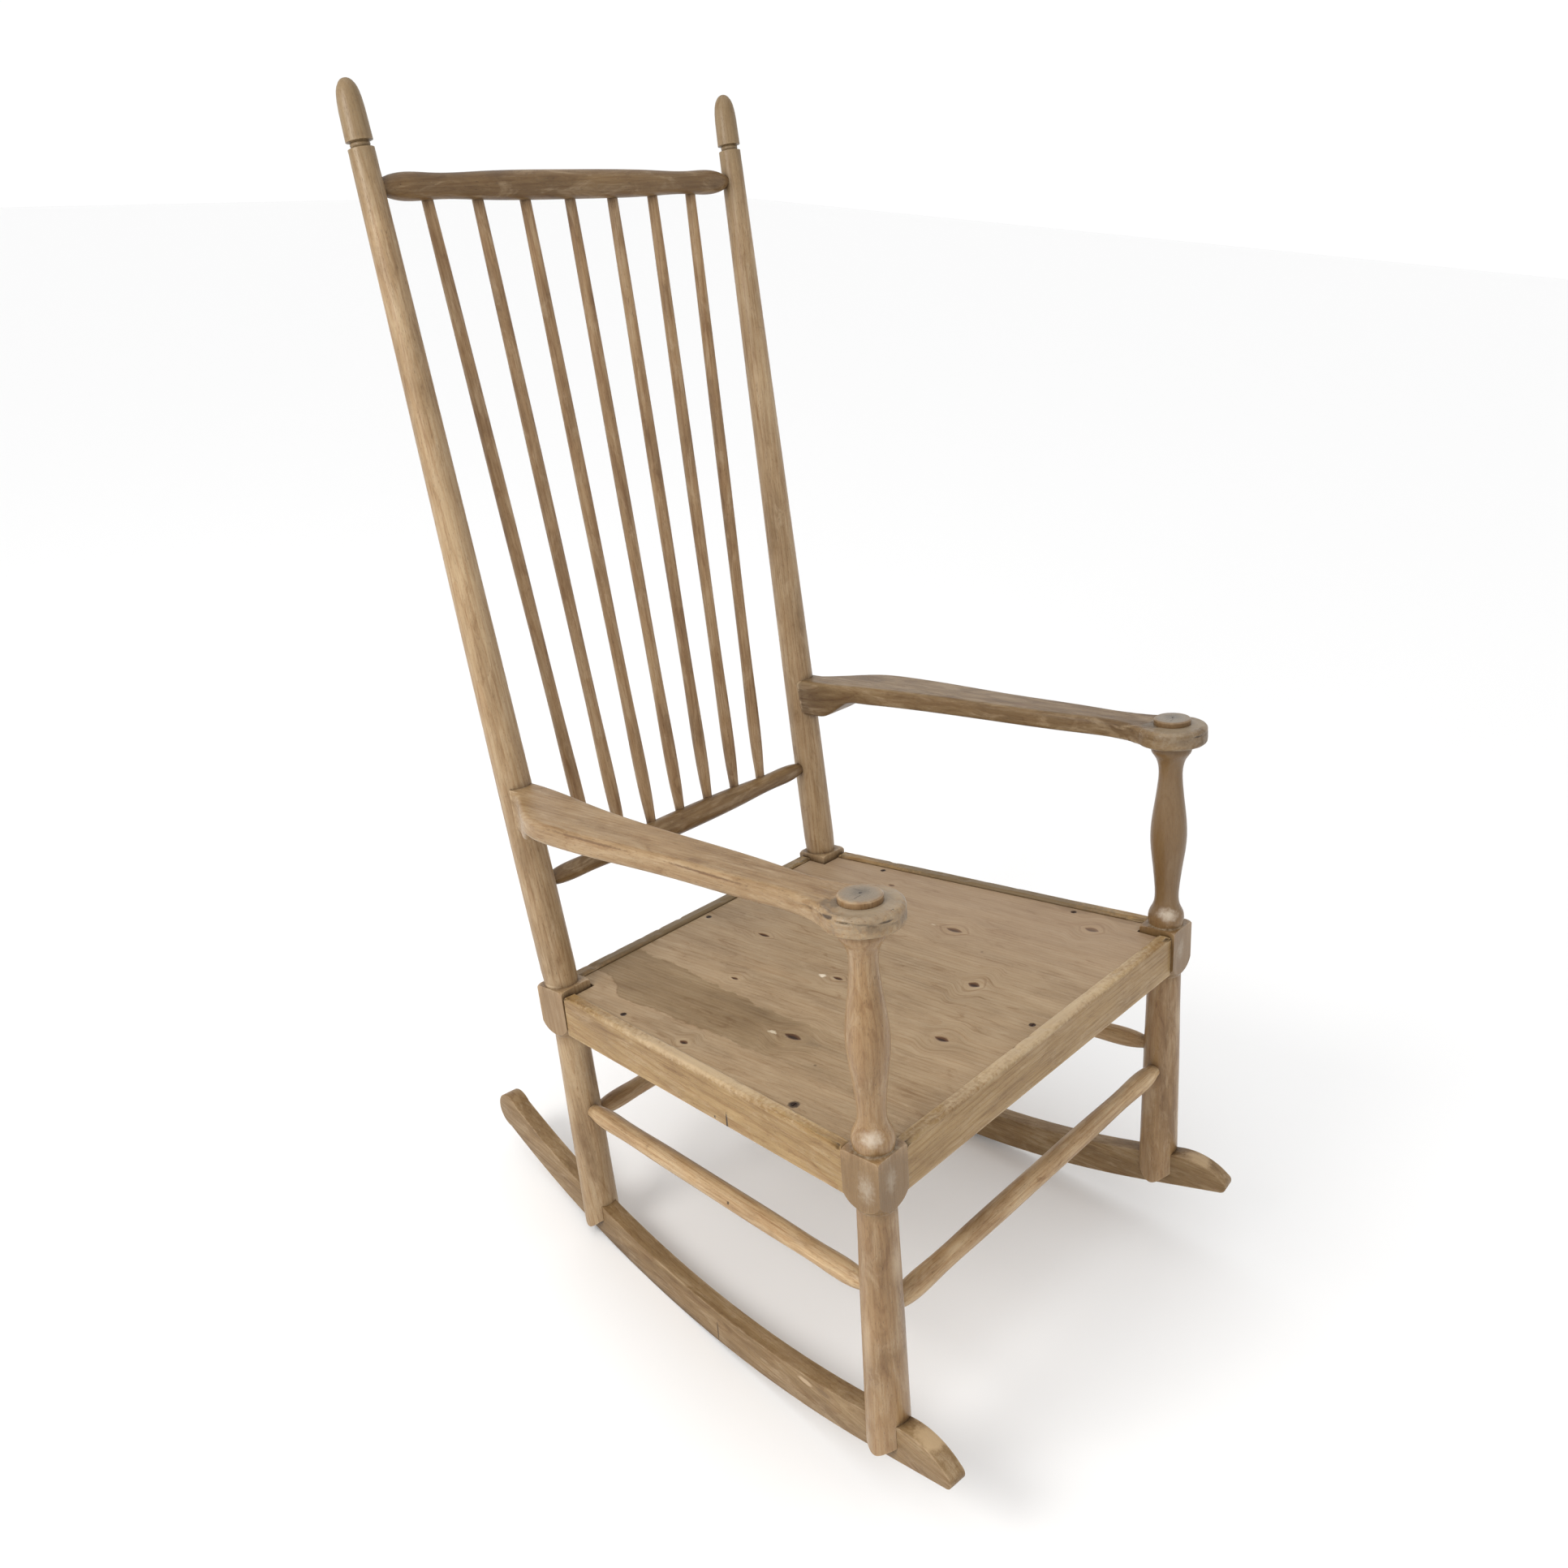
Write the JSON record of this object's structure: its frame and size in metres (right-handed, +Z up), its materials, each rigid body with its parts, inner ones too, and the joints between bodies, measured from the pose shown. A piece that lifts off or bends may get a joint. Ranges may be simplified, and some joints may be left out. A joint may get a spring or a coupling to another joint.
{
  "type": "rocking chair",
  "caption": "High-backed wooden rocking chair with turned posts, a spindle back, plank arms, a flat board seat and bent rockers slotted into the legs.",
  "frame": {"origin": "middle of the footprint on the floor, with the empty chair at rest on its rockers", "axes": "+Z up, -Y the way the sitter faces, +X across the chair to its right-hand nodes; the seat leans back about nine degrees"},
  "size_m": [0.581, 0.8193, 1.1578],
  "materials": {
    "turned_wood": "satin, worn, stripped hardwood with fine streaks",
    "rail_wood": "matte, worn edges paler",
    "bent_wood": "matte, weathered",
    "arm_wood": "satin, greyed where hands rest",
    "seat_board": "matte, greyish board with knots",
    "hidden_wood": "matte, raw",
    "screw_steel": "dull, darkened steel"
  },
  "bodies": {
    "root": {"arm_dowel_left": "hidden_wood", "arm_dowel_right": "hidden_wood", "arm_left": "arm_wood", "arm_pin_left": "hidden_wood", "arm_pin_right": "hidden_wood", "arm_right": "arm_wood", "back_leg_pin_left": "hidden_wood", "back_leg_pin_right": "hidden_wood", "back_post_left": "turned_wood", "back_post_right": "turned_wood", "back_spindle_1": "turned_wood", "back_spindle_2": "turned_wood", "back_spindle_3": "turned_wood", "back_spindle_4": "turned_wood", "back_spindle_5": "turned_wood", "back_spindle_6": "turned_wood", "back_spindle_7": "turned_wood", "crest_rail": "turned_wood", "front_leg_pin_left": "hidden_wood", "front_leg_pin_right": "hidden_wood", "front_post_left": "turned_wood", "front_post_right": "turned_wood", "front_rail": "rail_wood", "front_stretcher": "turned_wood", "lower_back_rail": "turned_wood", "rear_rail": "rail_wood", "rear_stretcher": "turned_wood", "rocker_left": "bent_wood", "rocker_right": "bent_wood", "seat_batten_front": "hidden_wood", "seat_batten_left": "hidden_wood", "seat_batten_rear": "hidden_wood", "seat_batten_right": "hidden_wood", "seat_panel": "seat_board", "seat_screw_1": "screw_steel", "seat_screw_2": "screw_steel", "seat_screw_3": "screw_steel", "seat_screw_4": "screw_steel", "seat_screw_5": "screw_steel", "seat_screw_6": "screw_steel", "side_rail_left": "rail_wood", "side_rail_right": "rail_wood", "side_stretcher_left": "turned_wood", "side_stretcher_right": "turned_wood"}
  },
  "joints": []
}
